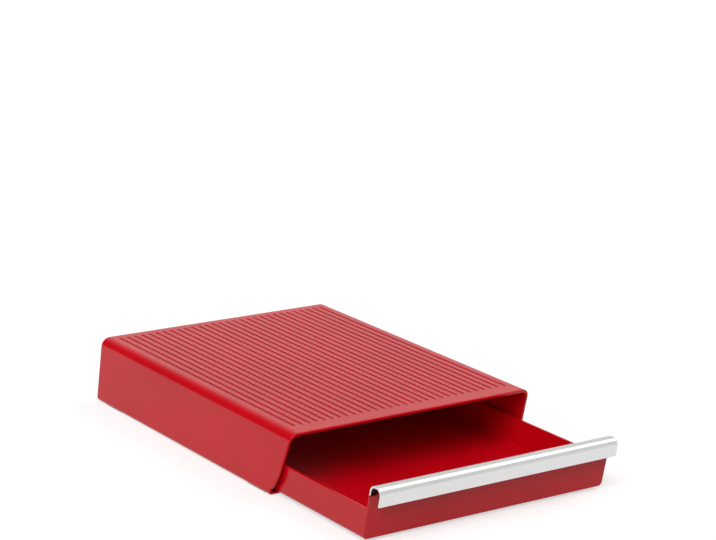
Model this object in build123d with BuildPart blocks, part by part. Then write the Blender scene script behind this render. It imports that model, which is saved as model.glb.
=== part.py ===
from build123d import *
import math
import os

os.makedirs("parts", exist_ok=True)

# Frame, in millimetres: +X right, the drawer opens towards -Y, +Z up. The feet stand on Z = 0, X = 0 is the
# middle, and Y = 0 is half way between the rear of the housing and the handle's foremost point as drawn out.
# Heights called "level" count from the underside of the housing.

# ---- Housing: deck, side walls and lips ---------------------------------------------------------------------
deck_width = 262.0  # across the planes of the side walls, at the level of the deck
base_width = 272.0  # the same at the underside: the walls lean outwards
housing_height = 62.0
housing_depth = 327.0
side_wall = 2.3
deck_thickness = 3.0
shoulder_radius = 9.0
base_corner_radius = 3.5
inner_shoulder_radius = 6.5
inner_base_radius = 1.2
lip_overlap = 9.2  # how far a lip reaches under the tray
lip_thickness = 1.8
rim_radius = 0.9  # on the outer edges of the open ends

# Mouth, seen from the side: it leans back downwards, then sweeps further back to the lips.
mouth_lean = 0.30  # millimetres back per millimetre down
mouth_bend_level = 26.0
mouth_nose_level = 4.5
mouth_setback = 24.5
mouth_nose_radius = 2.0

# Grooves along the deck.
groove_count = 30
groove_pitch = 8.0
groove_width = 3.0
groove_depth = 0.8
groove_front_margin = 17.0
groove_rear_margin = 8.5

# Ribs under the deck.
deck_rib_count = 6
deck_rib_pitch = 40.0
deck_rib_thickness = 1.6
deck_rib_height = 3.5
deck_rib_setback = 12.0  # behind the nose of the mouth

# ---- Feet, glide strips and back panel ----------------------------------------------------------------------
foot_height = 0.6
foot_width = 10.0
foot_length = 32.0
foot_inset = 3.0  # from the free edge of the lip
foot_front_margin = 8.0  # behind the nose of the mouth
foot_rear_margin = 12.0

glide_width = 4.6
glide_height = 0.6
glide_inset = 0.6  # from the free edge of the lip
glide_front_margin = 3.0  # behind the nose of the mouth

back_thickness = 2.5
back_clearance = 0.15
back_tab_margin = 2.8  # from the tab to the lip's free edge, and to the wall
back_tab_thickness = 1.6

bumper_radius = 5.0
bumper_height = 6.0
bumper_edge_radius = 1.2
bumper_stem_radius = 2.0
bumper_stem_length = 2.3
bumper_stem_clearance = 0.1
bumper_from_wall = 37.4
bumper_level = 16.0

# ---- Drawer -------------------------------------------------------------------------------------------------
tray_side_clearance = 0.3  # between the tray and the housing's walls, at the level of the handle's crest
tray_side_room = 3.6  # at least this beside the tray at the lips, for the lugs and the stops
tray_wall = 2.2
tray_floor = 2.2
tray_wall_level = 30.3
tray_side_radius = 3.5  # along the bottom of the side walls
tray_corner_radius = 2.0  # round the front and rear faces
tray_inner_corner_radius = 3.0
tray_inner_floor_radius = 1.5
tray_rim_radius = 0.5
panel_thickness = 2.2
panel_lean = 0.19  # millimetres forward per millimetre up
panel_top_level = 46.0
panel_top_radius = 1.2  # on the edge beside the handle's leg
panel_notch_level = 42.6  # above this, the panel stops short of the handle's ends
panel_notch_width = 7.0
panel_root_radius = 2.0

drawn_out = 128.0  # how far the drawer stands open here
panel_foot_reach = 106.0  # the panel's face at its bottom, ahead of the deck's front edge
open_travel = 100.0  # how much further it opens
closed_gap = 0.3  # between the closed tray and the bumpers
stop_gap = 0.3  # between the lugs and the stops when fully open

lug_wall_gap = 0.9
lug_length = 10.0
lug_height = 6.0
lug_above_tray = 4.0
lug_rear_margin = 4.0
guide_gap = 0.5  # between the lugs and the guide ribs over them
guide_side_gap = 1.0  # between the guide ribs and the tray
guide_thickness = 1.6

stop_side_gap = 0.5
stop_wall_gap = 0.2
stop_length = 14.0
stop_peg_radius = 1.1
stop_peg_clearance = 0.1

# ---- Handle channel -----------------------------------------------------------------------------------------
handle_wall = 1.8
handle_finger_gap = 9.6  # from the panel's face to the leaf
handle_crest_level = 52.0
handle_leaf_level = 35.3
handle_leg_level = 40.6
handle_rear_radius = 7.0
handle_front_radius = 6.5
handle_edge_radius = 0.7
handle_end_inset = 1.8  # from the side of the tray

screw_spacing = 100.0
screw_count = 3
screw_level = 43.0
screw_radius = 1.0
screw_bite = 1.5
screw_head_radius = 1.7
screw_head_height = 1.1
screw_head_edge = 0.4
screw_hole_clearance = 0.15
screw_recess_width = 0.5
screw_recess_depth = 0.5

# ---- Places worked out from the sizes -----------------------------------------------------------------------
base_z = foot_height
top_z = base_z + housing_height
under_deck_z = top_z - deck_thickness
lip_top_z = base_z + lip_thickness
glide_top_z = lip_top_z + glide_height
tray_bottom_z = glide_top_z
tray_floor_z = tray_bottom_z + tray_floor
tray_wall_z = base_z + tray_wall_level
panel_top_z = base_z + panel_top_level
crest_z = base_z + handle_crest_level
leaf_z = base_z + handle_leaf_level
leg_z = base_z + handle_leg_level

wall_flare = (base_width - deck_width) / 2 / housing_height
wall_across = side_wall * math.sqrt(1 + wall_flare**2)  # the side wall's thickness, level with the floor
lean_angle = math.degrees(math.atan(panel_lean))
lean_factor = math.sqrt(1 + panel_lean**2)  # turns a thickness of the panel into a run along Y

leaf_reach = (handle_finger_gap + handle_wall) * lean_factor
nose_z = crest_z - handle_front_radius
front_reach = (
    panel_foot_reach
    + panel_lean * (nose_z - tray_bottom_z)
    + leaf_reach
    - handle_front_radius * (lean_factor - 1)
)
deck_front_y = (front_reach - housing_depth) / 2
rear_y = deck_front_y + housing_depth
back_face_y = rear_y - back_thickness
nose_y = deck_front_y + mouth_setback
panel_foot_y = deck_front_y - panel_foot_reach
tray_rear_y = back_face_y - bumper_height - closed_gap - drawn_out
lug_front_y = tray_rear_y - lug_rear_margin - lug_length
stop_rear_y = lug_front_y - open_travel - stop_gap


def wall_x(z):
    """Half the housing's width at height z, on the outside of its walls."""
    return base_width / 2 - wall_flare * (z - base_z)


def panel_face_y(z):
    """Where the leaning front face of the drawer is at height z."""
    return panel_foot_y - panel_lean * (z - tray_bottom_z)


def section_corners(inset, low_z, high_z):
    """Corners of the housing's cross-section, moved inwards from the outside of the walls."""
    low_x = wall_x(low_z) - inset
    high_x = wall_x(high_z) - inset
    return [(-low_x, low_z), (low_x, low_z), (high_x, high_z), (-high_x, high_z)]


def inner_wall_x(*levels):
    """Half the clear width of the tunnel, at the narrowest of these heights."""
    return min(wall_x(z) for z in levels) - wall_across


tray_half_width = min(
    inner_wall_x(crest_z, tray_bottom_z) - tray_side_clearance,
    inner_wall_x(lip_top_z) - tray_side_room,
)
lip_edge_x = tray_half_width - lip_overlap
handle_half_length = tray_half_width - handle_end_inset
lug_low_z = tray_bottom_z + lug_above_tray
lug_top_z = lug_low_z + lug_height
guide_z = lug_top_z + guide_gap
lug_reach = inner_wall_x(lug_low_z, lug_top_z) - lug_wall_gap - tray_half_width
bumper_x = inner_wall_x(base_z + bumper_level) - bumper_from_wall
rear_section = Plane.XZ.offset(-rear_y)

# ---- Cover shell --------------------------------------------------------------------------------------------
# One moulding: grooved deck, rounded shoulders, leaning side walls and the lips that the drawer runs on.
with BuildPart() as cover_shell:
    with BuildSketch(rear_section):
        with BuildLine():
            Polyline(*section_corners(0, base_z, top_z), close=True)
        make_face()
        fillet(vertices().group_by(Axis.Y)[-1], shoulder_radius)
        fillet(vertices().group_by(Axis.Y)[0], base_corner_radius)
    extrude(amount=housing_depth)

    # The raked and swept mouth.
    bend_z = base_z + mouth_bend_level
    with BuildSketch(Plane.YZ):
        with BuildLine():
            rake = Line(
                (deck_front_y - mouth_lean, top_z + 1),
                (deck_front_y + mouth_lean * (top_z - bend_z), bend_z),
            )
            sweep_back = TangentArc(
                rake @ 1,
                (nose_y, base_z + mouth_nose_level),
                tangent=rake % 1,
            )
            Polyline(
                sweep_back @ 1,
                (nose_y, base_z - 1),
                (deck_front_y - 10, base_z - 1),
                (deck_front_y - 10, top_z + 1),
                rake @ 0,
            )
        make_face()
        nose = vertices().filter_by_position(Axis.X, nose_y - 0.01, nose_y + 0.01)
        fillet(nose.sort_by(Axis.Y)[-1], mouth_nose_radius)
    extrude(amount=base_width, both=True, mode=Mode.SUBTRACT)

    # Both open ends are rounded on the outside.
    across = cover_shell.edges().filter_by(Axis.X)
    rims = cover_shell.edges() - cover_shell.edges().filter_by(Axis.Y) - across
    rims = rims + across.group_by(Axis.Z)[-1] + across.group_by(Axis.Z)[0]
    fillet(rims, rim_radius)

    # The tunnel for the drawer, and the opening between the lips.
    with BuildSketch(rear_section):
        with BuildLine():
            Polyline(*section_corners(wall_across, lip_top_z, under_deck_z), close=True)
        make_face()
        fillet(vertices().group_by(Axis.Y)[-1], inner_shoulder_radius)
        fillet(vertices().group_by(Axis.Y)[0], inner_base_radius)
    extrude(amount=housing_depth, mode=Mode.SUBTRACT)
    with BuildSketch(Plane.XY):
        with Locations((0, deck_front_y + housing_depth / 2)):
            Rectangle(2 * lip_edge_x, 2 * housing_depth)
    extrude(amount=lip_top_z, mode=Mode.SUBTRACT)

    # Stiffening ribs under the deck, run from behind the mouth to the back panel.
    rib_front_y = nose_y + deck_rib_setback
    rib_length = back_face_y - rib_front_y
    with BuildSketch(Plane.XY.offset(under_deck_z - deck_rib_height)):
        with Locations((0, rib_front_y + rib_length / 2)):
            with GridLocations(deck_rib_pitch, 1, deck_rib_count, 1):
                Rectangle(deck_rib_thickness, rib_length)
    extrude(amount=deck_rib_height + deck_thickness / 2)

    # Guide ribs on the side walls, which hold the drawer's rear corners down.
    guide_x = tray_half_width + guide_side_gap
    guide_reach = wall_x(guide_z) - side_wall / 2 - guide_x
    guide_length = back_face_y - stop_rear_y
    with BuildSketch(Plane.XY.offset(guide_z)):
        for side in (-1, 1):
            with Locations((side * (guide_x + guide_reach / 2), stop_rear_y + guide_length / 2)):
                Rectangle(guide_reach, guide_length)
    extrude(amount=guide_thickness)

    # Grooves, rounded at both ends.
    groove_radius = (groove_width**2 / 4 + groove_depth**2) / (2 * groove_depth)
    groove_end = math.sqrt(groove_radius**2 - (groove_radius - groove_depth) ** 2)
    groove_front_y = deck_front_y + groove_front_margin + groove_end
    groove_rear_y = rear_y - groove_rear_margin - groove_end
    groove_z = top_z + groove_radius - groove_depth
    groove_middle_y = (groove_front_y + groove_rear_y) / 2
    with Locations((0, groove_middle_y, groove_z)):
        with GridLocations(groove_pitch, 1, groove_count, 1):
            Cylinder(
                groove_radius,
                groove_rear_y - groove_front_y,
                rotation=(90, 0, 0),
                mode=Mode.SUBTRACT,
            )
    for end_y in (groove_front_y, groove_rear_y):
        with Locations((0, end_y, groove_z)):
            with GridLocations(groove_pitch, 1, groove_count, 1):
                Sphere(groove_radius, rotation=(90, 0, 0), mode=Mode.SUBTRACT)

    # Slots in the lips for the back panel's tabs, and holes for the stops' pegs.
    lip_room = inner_wall_x(lip_top_z) - lip_edge_x
    tab_x = lip_edge_x + lip_room / 2
    tab_width = lip_room - 2 * back_tab_margin
    tab_y = back_face_y + back_thickness / 2
    with BuildSketch(Plane.XY.offset(base_z)):
        with Locations((-tab_x, tab_y), (tab_x, tab_y)):
            Rectangle(tab_width + 2 * back_clearance, back_tab_thickness + 2 * back_clearance)
    extrude(amount=lip_thickness, mode=Mode.SUBTRACT)
    stop_inner_x = tray_half_width + stop_side_gap
    stop_width = inner_wall_x(lip_top_z, lug_top_z) - stop_wall_gap - stop_inner_x
    stop_x = stop_inner_x + stop_width / 2
    stop_y = stop_rear_y - stop_length / 2
    with BuildSketch(Plane.XY.offset(base_z)):
        with Locations((-stop_x, stop_y), (stop_x, stop_y)):
            Circle(stop_peg_radius + stop_peg_clearance)
    extrude(amount=lip_thickness, mode=Mode.SUBTRACT)

cover_shell.part.label = "cover_shell"
export_step(cover_shell.part, "parts/cover_shell.step")

# ---- Back panel ---------------------------------------------------------------------------------------------
# A plate that closes the rear, with a foot between the lips and two tabs through them.
with BuildPart() as back_panel:
    with BuildSketch(rear_section):
        with BuildLine():
            Polyline(
                *section_corners(
                    wall_across + back_clearance,
                    lip_top_z + back_clearance,
                    under_deck_z - back_clearance,
                ),
                close=True,
            )
        make_face()
        fillet(vertices().group_by(Axis.Y)[-1], inner_shoulder_radius)
        fillet(vertices().group_by(Axis.Y)[0], inner_base_radius)
    extrude(amount=back_thickness)
    with BuildSketch(Plane.XY.offset(base_z)):
        with Locations((0, tab_y)):
            Rectangle(2 * (lip_edge_x - back_clearance), back_thickness)
        with Locations((-tab_x, tab_y), (tab_x, tab_y)):
            Rectangle(tab_width, back_tab_thickness)
    extrude(amount=lip_thickness + 2 * back_clearance)
    with BuildSketch(Plane.XZ.offset(-rear_y)):
        with Locations((-bumper_x, base_z + bumper_level), (bumper_x, base_z + bumper_level)):
            Circle(bumper_stem_radius + bumper_stem_clearance)
    extrude(amount=back_thickness, mode=Mode.SUBTRACT)

back_panel.part.label = "back_panel"
export_step(back_panel.part, "parts/back_panel.step")


# ---- Bumpers ------------------------------------------------------------------------------------------------
# Soft buttons on the back panel, each with a stem pushed into a hole.
def bumper(x):
    """A bumper with its middle at x."""
    with BuildPart() as button:
        with BuildSketch(Plane.XZ.offset(-back_face_y)):
            with Locations((x, base_z + bumper_level)):
                Circle(bumper_radius)
        extrude(amount=bumper_height)
        fillet(button.edges().group_by(Axis.Y)[0], bumper_edge_radius)
        with BuildSketch(Plane.XZ.offset(-back_face_y)):
            with Locations((x, base_z + bumper_level)):
                Circle(bumper_stem_radius)
        extrude(amount=-bumper_stem_length)
    return button.part


bumper_left = bumper(-bumper_x)
bumper_left.label = "bumper_left"
export_step(bumper_left, "parts/bumper_left.step")

bumper_right = bumper(bumper_x)
bumper_right.label = "bumper_right"
export_step(bumper_right, "parts/bumper_right.step")


# ---- Glide strips -------------------------------------------------------------------------------------------
# Thin slippery strips on the lips, under the flat of the tray's bottom.
def glide_strip(side):
    """The strip on the left (-1) or the right (1) lip."""
    front_y = nose_y + glide_front_margin
    length = back_face_y - front_y
    middle_x = side * (lip_edge_x + glide_inset + glide_width / 2)
    with BuildPart() as strip:
        with BuildSketch(Plane.XY.offset(lip_top_z)):
            with Locations((middle_x, front_y + length / 2)):
                Rectangle(glide_width, length)
        extrude(amount=glide_height)
        fillet(strip.edges().filter_by(Axis.Z), glide_width / 4)
    return strip.part


glide_strip_left = glide_strip(-1)
glide_strip_left.label = "glide_strip_left"
export_step(glide_strip_left, "parts/glide_strip_left.step")

glide_strip_right = glide_strip(1)
glide_strip_right.label = "glide_strip_right"
export_step(glide_strip_right, "parts/glide_strip_right.step")


# ---- Stops --------------------------------------------------------------------------------------------------
# Blocks that stand on the lips beside the tray and catch its lugs. Each is held by a peg through the lip.
def stop(side):
    """The stop on the left (-1) or the right (1) side."""
    with BuildPart() as block:
        with BuildSketch(Plane.XY.offset(lip_top_z)):
            with Locations((side * stop_x, stop_y)):
                Rectangle(stop_width, stop_length)
        extrude(amount=lug_top_z - lip_top_z)
        fillet(block.edges().filter_by(Axis.X).group_by(Axis.Z)[-1].sort_by(Axis.Y)[0], stop_length / 4)
        low_edges = block.edges().filter_by(Axis.Y).group_by(Axis.Z)[0]
        fillet(low_edges.sort_by(Axis.X)[-1 if side > 0 else 0], inner_base_radius)
        with BuildSketch(Plane.XY.offset(base_z)):
            with Locations((side * stop_x, stop_y)):
                Circle(stop_peg_radius)
        extrude(amount=lip_thickness)
    return block.part


stop_left = stop(-1)
stop_left.label = "stop_left"
export_step(stop_left, "parts/stop_left.step")

stop_right = stop(1)
stop_right.label = "stop_right"
export_step(stop_right, "parts/stop_right.step")


# ---- Feet ---------------------------------------------------------------------------------------------------
# Thin rubber pads under the lips.
def foot(side, middle_y):
    """A pad under the left (-1) or the right (1) lip."""
    middle_x = side * (lip_edge_x + foot_inset + foot_width / 2)
    with BuildPart() as pad:
        with BuildSketch(Plane.XY):
            with Locations((middle_x, middle_y)):
                Rectangle(foot_width, foot_length)
        extrude(amount=foot_height)
        fillet(pad.edges().filter_by(Axis.Z), foot_width / 4)
    return pad.part


foot_front_y = nose_y + foot_front_margin + foot_length / 2
foot_rear_y = rear_y - foot_rear_margin - foot_length / 2

foot_front_left = foot(-1, foot_front_y)
foot_front_left.label = "foot_front_left"
export_step(foot_front_left, "parts/foot_front_left.step")

foot_front_right = foot(1, foot_front_y)
foot_front_right.label = "foot_front_right"
export_step(foot_front_right, "parts/foot_front_right.step")

foot_rear_left = foot(-1, foot_rear_y)
foot_rear_left.label = "foot_rear_left"
export_step(foot_rear_left, "parts/foot_rear_left.step")

foot_rear_right = foot(1, foot_rear_y)
foot_rear_right.label = "foot_rear_right"
export_step(foot_rear_right, "parts/foot_rear_right.step")

# ---- Drawer tray --------------------------------------------------------------------------------------------
# One moulding: floor, low walls and the taller front panel, which leans forward.
panel_run = panel_thickness * lean_factor
screw_z = base_z + screw_level
panel_back_y = panel_face_y(screw_z) + panel_run
screw_plane = Plane(
    origin=(0, panel_back_y, screw_z),
    x_dir=(1, 0, 0),
    z_dir=(0, math.cos(math.radians(lean_angle)), math.sin(math.radians(lean_angle))),
)

with BuildPart() as drawer_tray:
    with BuildSketch(Plane.YZ):
        with BuildLine():
            Polyline(
                (panel_face_y(tray_bottom_z), tray_bottom_z),
                (panel_face_y(panel_top_z), panel_top_z),
                (panel_face_y(panel_top_z) + panel_run, panel_top_z),
                (panel_face_y(tray_wall_z) + panel_run, tray_wall_z),
                (tray_rear_y, tray_wall_z),
                (tray_rear_y, tray_bottom_z),
                close=True,
            )
        make_face()
        root_y = panel_face_y(tray_wall_z) + panel_run
        root = vertices().filter_by_position(Axis.X, root_y - 0.01, root_y + 0.01)
        fillet(root, panel_root_radius)
        fillet(vertices().group_by(Axis.Y)[-1].sort_by(Axis.X)[-1], panel_top_radius)
    extrude(amount=tray_half_width, both=True)
    fillet(drawer_tray.edges().filter_by(Axis.Y).group_by(Axis.Z)[0], tray_side_radius)
    front_face = drawer_tray.faces().sort_by(Axis.Y)[0]
    rear_face = drawer_tray.faces().sort_by(Axis.Y)[-1]
    front_edges = front_face.edges() - front_face.edges().group_by(Axis.Z)[-1]
    rear_edges = rear_face.edges() - rear_face.edges().group_by(Axis.Z)[-1]
    fillet(front_edges + rear_edges, tray_corner_radius)

    # The inside.
    with BuildSketch(Plane.YZ):
        with BuildLine():
            Polyline(
                (panel_face_y(tray_floor_z) + panel_run, tray_floor_z),
                (panel_face_y(panel_top_z + 1) + panel_run, panel_top_z + 1),
                (tray_rear_y - tray_wall, panel_top_z + 1),
                (tray_rear_y - tray_wall, tray_floor_z),
                close=True,
            )
        make_face()
    extrude(amount=tray_half_width - tray_wall, both=True, mode=Mode.SUBTRACT)
    inner_rear_y = tray_rear_y - tray_wall
    rear_corners = drawer_tray.edges().filter_by(Axis.Z).filter_by_position(
        Axis.Y, inner_rear_y - 0.01, inner_rear_y + 0.01
    )
    fillet(rear_corners, tray_inner_corner_radius)
    floor_face = drawer_tray.faces().filter_by(Axis.Z).filter_by_position(
        Axis.Z, tray_floor_z - 0.01, tray_floor_z + 0.01
    )[0]
    fillet(floor_face.edges(), tray_inner_floor_radius)
    rim_face = drawer_tray.faces().filter_by(Axis.Z).filter_by_position(
        Axis.Z, tray_wall_z - 0.01, tray_wall_z + 0.01
    )[0]
    outer_rim = rim_face.edges().filter_by(Axis.Y).group_by(SortBy.DISTANCE)[-1]
    fillet(outer_rim, tray_rim_radius)

    # The panel's upper corners are cut away, so the handle's ends are hollow.
    notch_x = tray_half_width - panel_notch_width / 2
    with BuildSketch(Plane.XY.offset(base_z + panel_notch_level)):
        with Locations((-notch_x, panel_foot_y), (notch_x, panel_foot_y)):
            Rectangle(panel_notch_width, panel_top_level)
    extrude(amount=panel_top_level, mode=Mode.SUBTRACT)

    # Lugs at the rear corners.
    with BuildSketch(Plane.XY.offset(lug_low_z)):
        for side in (-1, 1):
            with Locations((side * tray_half_width, lug_front_y + lug_length / 2)):
                Rectangle(2 * lug_reach, lug_length)
    extrude(amount=lug_height)
    with BuildSketch(Plane.XY.offset(lug_low_z)):
        with Locations((0, lug_front_y + lug_length / 2)):
            Rectangle(2 * (tray_half_width - tray_wall), 2 * lug_length)
    extrude(amount=lug_height, mode=Mode.SUBTRACT)

    # Holes that the handle's screws bite into.
    with BuildSketch(screw_plane):
        with GridLocations(screw_spacing, 1, screw_count, 1):
            Circle(screw_radius)
    extrude(amount=-screw_bite, mode=Mode.SUBTRACT)

drawer_tray.part.label = "drawer_tray"
export_step(drawer_tray.part, "parts/drawer_tray.step")

# ---- Handle channel -----------------------------------------------------------------------------------------
# A channel, open at both ends. Its leg lies behind the panel, and its leaf hangs in front as a finger pull.
half_wall = handle_wall / 2
leg_shift = (panel_thickness + half_wall) * lean_factor
leaf_shift = (handle_finger_gap + half_wall) * lean_factor
with BuildPart() as handle_channel:
    with BuildSketch(Plane.YZ):
        with BuildLine():
            FilletPolyline(
                (panel_face_y(leg_z) + leg_shift, leg_z),
                (panel_face_y(crest_z - half_wall) + leg_shift, crest_z - half_wall),
                (panel_face_y(crest_z - half_wall) - leaf_shift, crest_z - half_wall),
                (panel_face_y(leaf_z) - leaf_shift, leaf_z),
                radius=[handle_rear_radius - half_wall, handle_front_radius - half_wall],
            )
        trace(line_width=handle_wall)
        fillet(vertices().sort_by(Axis.Y)[0:2], handle_edge_radius)
        leg_corners = vertices().filter_by_position(Axis.Y, leg_z - half_wall, leg_z + half_wall)
        fillet(leg_corners, handle_edge_radius)
    extrude(amount=handle_half_length, both=True)
    with BuildSketch(screw_plane):
        with GridLocations(screw_spacing, 1, screw_count, 1):
            Circle(screw_radius + screw_hole_clearance)
    extrude(amount=handle_wall + 1, mode=Mode.SUBTRACT)

handle_channel.part.label = "handle_channel"
export_step(handle_channel.part, "parts/handle_channel.step")

# ---- Handle screws ------------------------------------------------------------------------------------------
# Three short screws, driven from inside the tray through the channel's leg into the panel.
with BuildPart() as handle_screws:
    with BuildSketch(screw_plane.offset(handle_wall)):
        with GridLocations(screw_spacing, 1, screw_count, 1):
            Circle(screw_head_radius)
    extrude(amount=screw_head_height)
    head_tops = handle_screws.faces().filter_by(screw_plane).group_by(Axis.Y)[-1]
    fillet(head_tops.edges(), screw_head_edge)
    with BuildSketch(screw_plane.offset(handle_wall + screw_head_height)):
        with GridLocations(screw_spacing, 1, screw_count, 1):
            Rectangle(1.2 * screw_head_radius, screw_recess_width)
            Rectangle(screw_recess_width, 1.2 * screw_head_radius)
    extrude(amount=-screw_recess_depth, mode=Mode.SUBTRACT)
    with BuildSketch(screw_plane.offset(handle_wall)):
        with GridLocations(screw_spacing, 1, screw_count, 1):
            Circle(screw_radius)
    extrude(amount=-(handle_wall + screw_bite))

handle_screws.part.label = "handle_screws"
export_step(handle_screws.part, "parts/handle_screws.step")
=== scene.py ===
import math

import bmesh
import bpy
from mathutils import Matrix, Vector


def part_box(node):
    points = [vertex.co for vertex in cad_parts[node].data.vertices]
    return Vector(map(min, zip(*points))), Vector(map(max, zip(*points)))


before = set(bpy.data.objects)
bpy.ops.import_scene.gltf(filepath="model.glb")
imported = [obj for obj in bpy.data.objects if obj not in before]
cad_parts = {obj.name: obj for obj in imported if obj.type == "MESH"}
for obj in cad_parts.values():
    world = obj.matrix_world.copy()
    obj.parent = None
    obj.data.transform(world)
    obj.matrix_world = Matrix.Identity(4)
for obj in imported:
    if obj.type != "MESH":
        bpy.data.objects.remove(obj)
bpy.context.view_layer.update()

# ---- Camera -------------------------------------------------------------------------------------------------
# A long lens from the front left, a little above the deck. It was fitted to the housing's straight edges, its
# grooves and the drawer's edges, so it looks along the same lines as the photograph.
camera_yaw = math.radians(-35.959)
camera_pitch = math.radians(14.754)
camera_roll = math.radians(2.093)
camera_place = Vector((-1.17017, -1.62072, 0.69363))
focal_pixels = 2288.6
picture_width = 716
sensor_width = 36
farthest_seen = 100

forward = Vector((
    -math.sin(camera_yaw) * math.cos(camera_pitch),
    math.cos(camera_yaw) * math.cos(camera_pitch),
    -math.sin(camera_pitch),
))
level_right = forward.cross(Vector((0, 0, 1))).normalized()
level_up = level_right.cross(forward)
right = math.cos(camera_roll) * level_right + math.sin(camera_roll) * level_up
up = -math.sin(camera_roll) * level_right + math.cos(camera_roll) * level_up
camera_data = bpy.data.cameras.new("camera")
camera_data.sensor_width = sensor_width
camera_data.lens = focal_pixels / picture_width * sensor_width
camera_data.clip_end = farthest_seen
camera = bpy.data.objects.new("camera", camera_data)
camera.matrix_world = Matrix((
    (right.x, up.x, -forward.x, camera_place.x),
    (right.y, up.y, -forward.y, camera_place.y),
    (right.z, up.z, -forward.z, camera_place.z),
    (0, 0, 0, 1),
))
scene = bpy.context.scene
scene.collection.objects.link(camera)
scene.camera = camera

# ---- Studio -------------------------------------------------------------------------------------------------
# A pale floor that runs out of sight, a broad key light from above on the left, and a softer light from above
# on the right that draws the highlight along the handle. What gloss shows of the room is pale on the right and
# dark on the left, which gives the deck its sheen and the left shoulder its deep band.
sky_strength = 0.36
horizon_colour = (1.0, 1.0, 1.0, 1)
pale_side_colour = (0.82, 0.82, 0.82, 1)
dark_side_colour = (0.07, 0.07, 0.075, 1)
room_sides = (-0.40, 0.50)
room_foot = (0.0, 0.10)
floor_half = 40.0
floor_colour = (0.52, 0.52, 0.52, 1)
floor_glow = 0.58

scene.view_settings.view_transform = "Standard"


def add_node(tree, kind, inputs, **settings):
    """Adds a shader node. Each input is a plain value, or a socket that feeds it."""
    node = tree.nodes.new(kind)
    for name, value in settings.items():
        setattr(node, name, value)
    for name, value in inputs.items():
        if isinstance(value, bpy.types.NodeSocket):
            tree.links.new(value, node.inputs[name])
        else:
            node.inputs[name].default_value = value
    return node


def calculate(tree, operation, *values, **settings):
    """The result of a Math node on plain numbers or sockets."""
    return add_node(tree, "ShaderNodeMath", dict(enumerate(values)), operation=operation, **settings).outputs[0]


def ramp(tree, value, start, end, low=0.0, high=1.0, kind="LINEAR"):
    """Runs from low to high as value goes from start to end."""
    inputs = {"Value": value, "From Min": start, "From Max": end, "To Min": low, "To Max": high}
    return add_node(tree, "ShaderNodeMapRange", inputs, interpolation_type=kind).outputs["Result"]


def mix_colours(tree, share, first, second):
    """Goes from the first colour to the second as share goes from 0 to 1."""
    inputs = {"Factor": share, "A": first, "B": second}
    return add_node(tree, "ShaderNodeMix", inputs, data_type="RGBA").outputs["Result"]


def looked_at(tree):
    """1 where something is seen, straight, in gloss or through glass, and 0 where it only gives light."""
    rays = add_node(tree, "ShaderNodeLightPath", {}).outputs
    straight_or_gloss = calculate(tree, "MAXIMUM", rays["Is Camera Ray"], rays["Is Glossy Ray"])
    return calculate(tree, "MAXIMUM", straight_or_gloss, rays["Is Transmission Ray"])


world = bpy.data.worlds.new("studio")
scene.world = world
world.use_nodes = True
sky = world.node_tree
sky.nodes.clear()
sky_way = add_node(sky, "ShaderNodeTexCoord", {}).outputs["Generated"]
sky_way = add_node(sky, "ShaderNodeSeparateXYZ", {0: sky_way}).outputs
above_floor = ramp(sky, sky_way["Z"], *room_foot, kind="SMOOTHSTEP")
to_the_right = ramp(sky, sky_way["X"], *room_sides, kind="SMOOTHSTEP")
room = mix_colours(sky, to_the_right, dark_side_colour, pale_side_colour)
seen_straight = add_node(sky, "ShaderNodeLightPath", {}).outputs["Is Camera Ray"]
only_in_gloss = calculate(sky, "SUBTRACT", above_floor, seen_straight, use_clamp=True)
backdrop = mix_colours(sky, only_in_gloss, horizon_colour, room)
seen_sky = add_node(sky, "ShaderNodeBackground", {"Color": backdrop})
soft_sky = add_node(sky, "ShaderNodeBackground", {"Color": (1, 1, 1, 1), "Strength": sky_strength})
whole_sky = add_node(
    sky, "ShaderNodeMixShader", {"Fac": looked_at(sky), 1: soft_sky.outputs[0], 2: seen_sky.outputs[0]}
)
add_node(sky, "ShaderNodeOutputWorld", {"Surface": whole_sky.outputs[0]})


def sun(name, towards_light, strength, width):
    """A broad, far light. width is how many degrees of the sky it fills."""
    data = bpy.data.lights.new(name, "SUN")
    data.energy = strength
    data.angle = math.radians(width)
    lamp = bpy.data.objects.new(name, data)
    lamp.rotation_euler = Vector(towards_light).to_track_quat("Z", "Y").to_euler()
    scene.collection.objects.link(lamp)


sun("key_light", towards_light=(-0.58, -0.44, 0.69), strength=1.95, width=36)
sun("right_light", towards_light=(0.57, -0.10, 0.82), strength=0.45, width=30)

floor_form = bmesh.new()
bmesh.ops.create_grid(floor_form, x_segments=1, y_segments=1, size=floor_half)
floor_mesh = bpy.data.meshes.new("floor")
floor_form.to_mesh(floor_mesh)
floor_form.free()
floor = bpy.data.objects.new("floor", floor_mesh)
scene.collection.objects.link(floor)
floor_paint = bpy.data.materials.new("pale_floor")
floor_paint.use_nodes = True
tree = floor_paint.node_tree
tree.nodes.clear()
glow_strength = calculate(tree, "MULTIPLY", looked_at(tree), floor_glow)
matt = add_node(tree, "ShaderNodeBsdfDiffuse", {"Color": floor_colour})
glow = add_node(tree, "ShaderNodeEmission", {"Color": (1, 1, 1, 1), "Strength": glow_strength})
lit_floor = add_node(tree, "ShaderNodeAddShader", {0: matt.outputs[0], 1: glow.outputs[0]})
add_node(tree, "ShaderNodeOutputMaterial", {"Surface": lit_floor.outputs[0]})
floor_mesh.materials.append(floor_paint)

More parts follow.
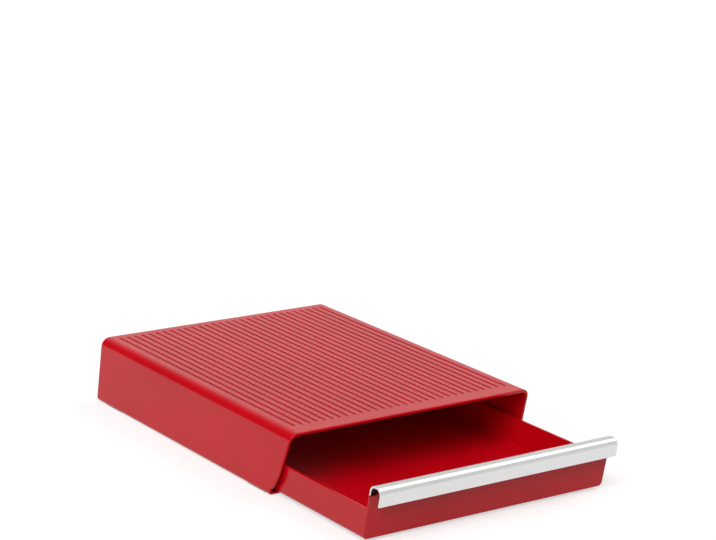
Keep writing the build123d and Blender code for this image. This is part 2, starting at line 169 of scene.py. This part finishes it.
# ---- Cover shell and back panel -----------------------------------------------------------------------------
# The housing is one red moulding, satin from the mould, with 30 shallow grooves along its deck. The back panel
# is pushed in at the rear. Both keep the shape that they have in the frame.
red_colour = (0.640, 0.0012, 0.0085, 1)
red_dark_colour = (0.570, 0.0010, 0.0070, 1)
groove_shade_colour = (0.37, 0.0012, 0.0060, 1)
groove_duller = 0.15
groove_depth = 0.0008
grooved_half_width = 0.119
plain_front = 0.012
plastic_specular = 0.26
gloss_drift = 0.03
edge_polish = 0.08
edge_samples = 6
wave_scale = 14.0
waves_dark, waves_clean = 0.30, 0.62
edge_starts, edge_full = 1.0, 0.80


def new_group(name, inputs, outputs):
    """Starts a node group with named sockets, and gives its tree, what it is given and what it puts out."""
    group = bpy.data.node_groups.new(name, "ShaderNodeTree")
    for socket, kind in inputs.items():
        group.interface.new_socket(name=socket, in_out="INPUT", socket_type="NodeSocket" + kind)
    for socket, kind in outputs.items():
        group.interface.new_socket(name=socket, in_out="OUTPUT", socket_type="NodeSocket" + kind)
    return group, group.nodes.new("NodeGroupInput").outputs, group.nodes.new("NodeGroupOutput").inputs


def moulded_surface_group():
    """Fine texture that a moulded surface takes from the mould: grain, slow waviness and a rounded-over edge."""
    group, given, result = new_group(
        "moulded_surface",
        {"Grain Size": "Float", "Grain Depth": "Float", "Edge Radius": "Float"},
        {"Mottle": "Float", "Edge": "Float", "Normal": "Vector"},
    )
    place = add_node(group, "ShaderNodeTexCoord", {}).outputs["Object"]
    grain = add_node(
        group, "ShaderNodeTexNoise", {"Vector": place, "Scale": given["Grain Size"], "Detail": 2.0}
    )
    waves = add_node(group, "ShaderNodeTexNoise", {"Vector": place, "Scale": wave_scale, "Detail": 3.0})
    rounded = add_node(group, "ShaderNodeBevel", {"Radius": given["Edge Radius"]}, samples=edge_samples)
    bump = add_node(group, "ShaderNodeBump", {
        "Strength": 1.0,
        "Distance": given["Grain Depth"],
        "Height": grain.outputs["Fac"],
        "Normal": rounded.outputs["Normal"],
    })
    true_way = add_node(group, "ShaderNodeNewGeometry", {}).outputs["Normal"]
    turned = add_node(
        group, "ShaderNodeVectorMath", {0: rounded.outputs["Normal"], 1: true_way}, operation="DOT_PRODUCT"
    )
    group.links.new(waves.outputs["Fac"], result["Mottle"])
    group.links.new(ramp(group, turned.outputs["Value"], edge_starts, edge_full), result["Edge"])
    group.links.new(bump.outputs["Normal"], result["Normal"])
    return group


def painted_shade_and_duller_group():
    """Takes a finish towards a darker colour, which is painted shade, and a duller gloss where a mask says."""
    group, given, result = new_group(
        "painted_shade_and_duller",
        {"Colour": "Color", "Roughness": "Float", "Mask": "Float", "Darkest": "Color", "Duller": "Float"},
        {"Colour": "Color", "Roughness": "Float"},
    )
    darker = mix_colours(group, given["Mask"], given["Colour"], given["Darkest"])
    duller = calculate(group, "MULTIPLY_ADD", given["Mask"], given["Duller"], given["Roughness"])
    group.links.new(darker, result["Colour"])
    group.links.new(duller, result["Roughness"])
    return group


moulded_surface = moulded_surface_group()
painted_shade_and_duller = painted_shade_and_duller_group()


def moulded_plastic(name, colour, dark_colour, roughness, grain_size, grain_depth, edge_radius):
    """Moulded plastic or rubber: its colour and gloss drift a little, and its edges are slightly rubbed."""
    material = bpy.data.materials.new(name)
    material.use_nodes = True
    tree = material.node_tree
    shader = tree.nodes["Principled BSDF"]
    texture = {"Grain Size": grain_size, "Grain Depth": grain_depth, "Edge Radius": edge_radius}
    surface = add_node(tree, "ShaderNodeGroup", texture, node_tree=moulded_surface)
    mottle = surface.outputs["Mottle"]
    tint = mix_colours(tree, ramp(tree, mottle, waves_dark, waves_clean), dark_colour, colour)
    gloss = ramp(tree, mottle, 0.0, 1.0, roughness + gloss_drift, roughness - gloss_drift)
    rubbed = calculate(tree, "MULTIPLY_ADD", surface.outputs["Edge"], -edge_polish, gloss)
    tree.links.new(tint, shader.inputs["Base Color"])
    tree.links.new(rubbed, shader.inputs["Roughness"])
    tree.links.new(surface.outputs["Normal"], shader.inputs["Normal"])
    shader.inputs["Specular IOR Level"].default_value = plastic_specular
    return material


def paint_shade_where(material, mask, darkest, duller):
    """Puts the painted shade and duller gloss between what a material has and its shader."""
    tree = material.node_tree
    shader = tree.nodes["Principled BSDF"]
    finish = add_node(tree, "ShaderNodeGroup", {
        "Colour": shader.inputs["Base Color"].links[0].from_socket,
        "Roughness": shader.inputs["Roughness"].links[0].from_socket,
        "Mask": mask,
        "Darkest": darkest,
        "Duller": duller,
    }, node_tree=painted_shade_and_duller)
    tree.links.new(finish.outputs["Colour"], shader.inputs["Base Color"])
    tree.links.new(finish.outputs["Roughness"], shader.inputs["Roughness"])


def places(tree):
    """How far a point of the surface lies from the middle plane, and its Y and Z."""
    place = add_node(tree, "ShaderNodeTexCoord", {}).outputs["Object"]
    split = add_node(tree, "ShaderNodeSeparateXYZ", {0: place}).outputs
    return calculate(tree, "ABSOLUTE", split["X"]), split["Y"], split["Z"]


def groove_shade_mask(tree):
    """1 on the bottoms of the deck's grooves, where shade is painted, and 0 on the lands."""
    low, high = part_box("cover_shell")
    deck_level = high[2]
    off_centre, y, z = places(tree)
    mask = ramp(tree, z, deck_level - 0.1 * groove_depth, deck_level - 0.9 * groove_depth, kind="SMOOTHSTEP")
    above_ribs = calculate(tree, "GREATER_THAN", z, deck_level - 1.2 * groove_depth)
    inside_shoulders = calculate(tree, "LESS_THAN", off_centre, grooved_half_width)
    behind_front = calculate(tree, "GREATER_THAN", y, low[1] + plain_front)
    for limit in (above_ribs, inside_shoulders, behind_front):
        mask = calculate(tree, "MULTIPLY", mask, limit)
    return mask


def dress(node_names, material):
    """Gives CAD nodes their finish."""
    for name in node_names:
        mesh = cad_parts[name].data
        mesh.materials.clear()
        mesh.materials.append(material)


red_plastic = moulded_plastic(
    "satin_red_plastic", red_colour, red_dark_colour, roughness=0.16,
    grain_size=1400, grain_depth=0.000006, edge_radius=0.0004,
)
housing_red = red_plastic.copy()
housing_red.name = "grooved_red_plastic"
# The groove bottoms get painted shade, a darker red, and a duller gloss.
paint_shade_where(housing_red, groove_shade_mask(housing_red.node_tree), groove_shade_colour, groove_duller)
dress(("cover_shell",), housing_red)
dress(("back_panel",), red_plastic)

# ---- Feet, bumpers, glide strips and stops ------------------------------------------------------------------
# Black rubber pads under the lips and buttons on the back panel, pale slippery strips on the lips, and red
# blocks pegged into the lips that catch the drawer.
black_rubber = moulded_plastic(
    "black_rubber", (0.030, 0.030, 0.031, 1), (0.018, 0.018, 0.019, 1), roughness=0.72,
    grain_size=900, grain_depth=0.00003, edge_radius=0.0003,
)
pale_glide = moulded_plastic(
    "pale_glide", (0.78, 0.77, 0.73, 1), (0.70, 0.69, 0.65, 1), roughness=0.42,
    grain_size=1200, grain_depth=0.000008, edge_radius=0.0002,
)
dress(("foot_front_left", "foot_front_right", "foot_rear_left", "foot_rear_right"), black_rubber)
dress(("bumper_left", "bumper_right"), black_rubber)
dress(("glide_strip_left", "glide_strip_right"), pale_glide)
dress(("stop_left", "stop_right"), red_plastic)

# ---- Drawer tray --------------------------------------------------------------------------------------------
# The tray and its leaning front panel are one moulding in the same red, a shade less glossy than the housing.
# The panel's upper corners are cut away inside the handle's ends, where painted shade makes them darker.
cut_corner_shade_colour = (0.16, 0.0008, 0.0030, 1)
corner_from_handle_end = 0.0055
corner_below_crest = 0.0096


def cut_corner_shade_mask(tree):
    """1 on the panel's cut-away corners inside the handle's ends, where shade is painted."""
    handle_end, _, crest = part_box("handle_channel")[1]
    off_centre, _, z = places(tree)
    at_the_ends = calculate(tree, "GREATER_THAN", off_centre, handle_end - corner_from_handle_end)
    under_the_crest = calculate(tree, "GREATER_THAN", z, crest - corner_below_crest)
    return calculate(tree, "MULTIPLY", at_the_ends, under_the_crest)


tray_red = moulded_plastic(
    "tray_red_plastic", red_colour, red_dark_colour, roughness=0.18,
    grain_size=1400, grain_depth=0.000005, edge_radius=0.0003,
)
# The cut corners get painted shade, a dark red, with the gloss left as it is.
paint_shade_where(tray_red, cut_corner_shade_mask(tray_red.node_tree), cut_corner_shade_colour, duller=0.0)
dress(("drawer_tray",), tray_red)

# ---- Handle channel and its screws --------------------------------------------------------------------------
# A bent channel of satin aluminium, brushed along its length, held by three small steel screws. Its inside faces
# carry painted shade: a dark maroon for the shade and red reflection deep in the channel, and a duller gloss.
aluminium_colour = (0.74, 0.74, 0.735, 1)
steel_colour = (0.56, 0.56, 0.57, 1)
inside_shade_colour = (0.09, 0.055, 0.055, 1)
inside_duller = 0.25
middle_below_crest = 0.007
turns_inwards, fully_inwards = 0.10, 0.30
line_shade = 0.93
line_gloss = 0.05
brushed_edge = 0.0002


def brush_lines_group():
    """Fine brush lines along X, and an edge that the brush has rounded."""
    group, given, result = new_group(
        "brush_lines",
        {"Across": "Float", "Along": "Float", "Depth": "Float"},
        {"Lines": "Float", "Normal": "Vector"},
    )
    place = add_node(group, "ShaderNodeTexCoord", {}).outputs["Object"]
    stretch = add_node(
        group, "ShaderNodeCombineXYZ", {"X": given["Along"], "Y": given["Across"], "Z": given["Across"]}
    )
    stretched = add_node(group, "ShaderNodeMapping", {"Vector": place, "Scale": stretch.outputs[0]})
    lines = add_node(
        group, "ShaderNodeTexNoise",
        {"Vector": stretched.outputs["Vector"], "Scale": 1.0, "Detail": 4.0, "Roughness": 0.6},
    )
    rounded = add_node(group, "ShaderNodeBevel", {"Radius": brushed_edge}, samples=edge_samples)
    bump = add_node(group, "ShaderNodeBump", {
        "Distance": given["Depth"],
        "Height": lines.outputs["Fac"],
        "Normal": rounded.outputs["Normal"],
    })
    group.links.new(lines.outputs["Fac"], result["Lines"])
    group.links.new(bump.outputs["Normal"], result["Normal"])
    return group


brush_lines = brush_lines_group()


def brushed_metal(name, colour, roughness, across, along, depth):
    """Metal with fine brush lines along X."""
    material = bpy.data.materials.new(name)
    material.use_nodes = True
    tree = material.node_tree
    shader = tree.nodes["Principled BSDF"]
    shader.inputs["Metallic"].default_value = 1.0
    brush = {"Across": across, "Along": along, "Depth": depth}
    brushed = add_node(tree, "ShaderNodeGroup", brush, node_tree=brush_lines)
    lines = brushed.outputs["Lines"]
    line_colour = tuple(line_shade * part for part in colour[:3]) + (1,)
    tree.links.new(mix_colours(tree, lines, line_colour, colour), shader.inputs["Base Color"])
    gloss = ramp(tree, lines, 0.0, 1.0, roughness - line_gloss, roughness + line_gloss)
    tree.links.new(gloss, shader.inputs["Roughness"])
    tree.links.new(brushed.outputs["Normal"], shader.inputs["Normal"])
    return material


def channel_inside_shade_mask(tree):
    """1 on the faces of the channel that look towards its middle, where shade is painted, and 0 on those that
    look away.
    """
    low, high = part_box("handle_channel")
    middle = (0, (low[1] + high[1]) / 2, high[2] - middle_below_crest)
    place = add_node(tree, "ShaderNodeTexCoord", {}).outputs
    to_middle = add_node(tree, "ShaderNodeVectorMath", {0: middle, 1: place["Object"]}, operation="SUBTRACT")
    across = add_node(
        tree, "ShaderNodeVectorMath", {0: to_middle.outputs[0], 1: (0, 1, 1)}, operation="MULTIPLY"
    )
    inwards = add_node(tree, "ShaderNodeVectorMath", {0: across.outputs[0]}, operation="NORMALIZE")
    facing = add_node(
        tree, "ShaderNodeVectorMath", {0: inwards.outputs[0], 1: place["Normal"]}, operation="DOT_PRODUCT"
    )
    return ramp(tree, facing.outputs["Value"], turns_inwards, fully_inwards)


satin_aluminium = brushed_metal(
    "satin_aluminium", aluminium_colour, roughness=0.28, across=2600.0, along=18.0, depth=0.000004
)
screw_steel = brushed_metal(
    "screw_steel", steel_colour, roughness=0.28, across=2600.0, along=300.0, depth=0.000004
)
# The channel's inside faces get painted shade and red reflection, a dark maroon, and a duller gloss.
paint_shade_where(satin_aluminium, channel_inside_shade_mask(satin_aluminium.node_tree), inside_shade_colour, inside_duller)
dress(("handle_channel",), satin_aluminium)
dress(("handle_screws",), screw_steel)
